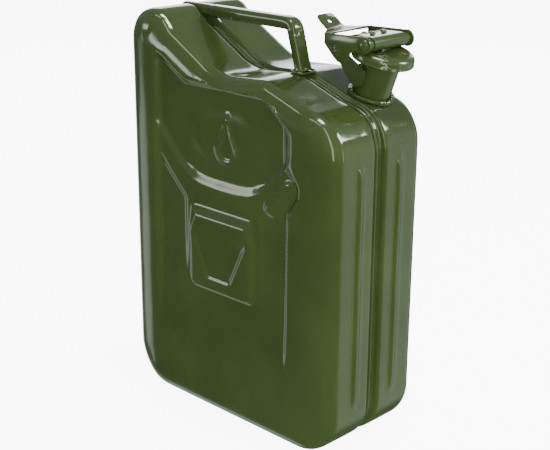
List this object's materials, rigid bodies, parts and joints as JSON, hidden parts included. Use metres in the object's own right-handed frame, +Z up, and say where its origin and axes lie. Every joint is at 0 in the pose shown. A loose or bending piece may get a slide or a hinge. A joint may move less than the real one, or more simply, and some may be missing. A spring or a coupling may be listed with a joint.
{
  "type": "fuel can",
  "caption": "Pressed-steel fuel can with a welded centre seam, a tube carrying handle, a leaning neck and a hinged lid clamped by a lever.",
  "frame": {"origin": "middle of the underside of the whole can's box, on the surface it stands on", "axes": "+Z up; +X towards the neck and lid; the seam lies in the plane y = 0, the wide faces look along -Y and +Y, and the neck stands on the +Y half"},
  "size_m": [0.282, 0.1358, 0.4053],
  "materials": {
    "body_enamel": "high-gloss olive-green enamel",
    "handle_enamel": "high-gloss olive-green enamel, slightly worn on top",
    "neck_enamel": "high-gloss olive-green enamel over welds",
    "closure_enamel": "gloss olive-green enamel, worn at edges",
    "rubber": "matt black fuel-proof rubber",
    "bare_steel": "drawn steel tube"
  },
  "bodies": {
    "root": {"near_shell": "body_enamel", "far_shell": "body_enamel", "seam_bead": "body_enamel", "handle": "handle_enamel", "handle_front_weld": "handle_enamel", "handle_rear_weld": "handle_enamel", "neck": "neck_enamel", "neck_weld": "neck_enamel", "mouth_ring": "neck_enamel", "breather_tube": "bare_steel", "closure_bracket": "closure_enamel", "hinge_pin": "closure_enamel"},
    "closure": {"yoke": "closure_enamel", "lid": "closure_enamel", "gasket": "rubber", "near_lid_stud": "closure_enamel", "far_lid_stud": "closure_enamel"},
    "lever": {"lever": "closure_enamel", "lever_pin": "closure_enamel", "near_spacer": "closure_enamel", "far_spacer": "closure_enamel"}
  },
  "joints": [
    {"name": "closure_hinge", "type": "hinge", "parent": "root", "child": "closure", "pos_m": [0.0722, 0.031, 0.3838], "axis": [0, -1, 0], "range_deg": [0, 72]},
    {"name": "lever_hinge", "type": "hinge", "parent": "closure", "child": "lever", "pos_m": [0.1147, 0.031, 0.3882], "axis": [0, 1, 0], "range_deg": [0, 100]}
  ]
}
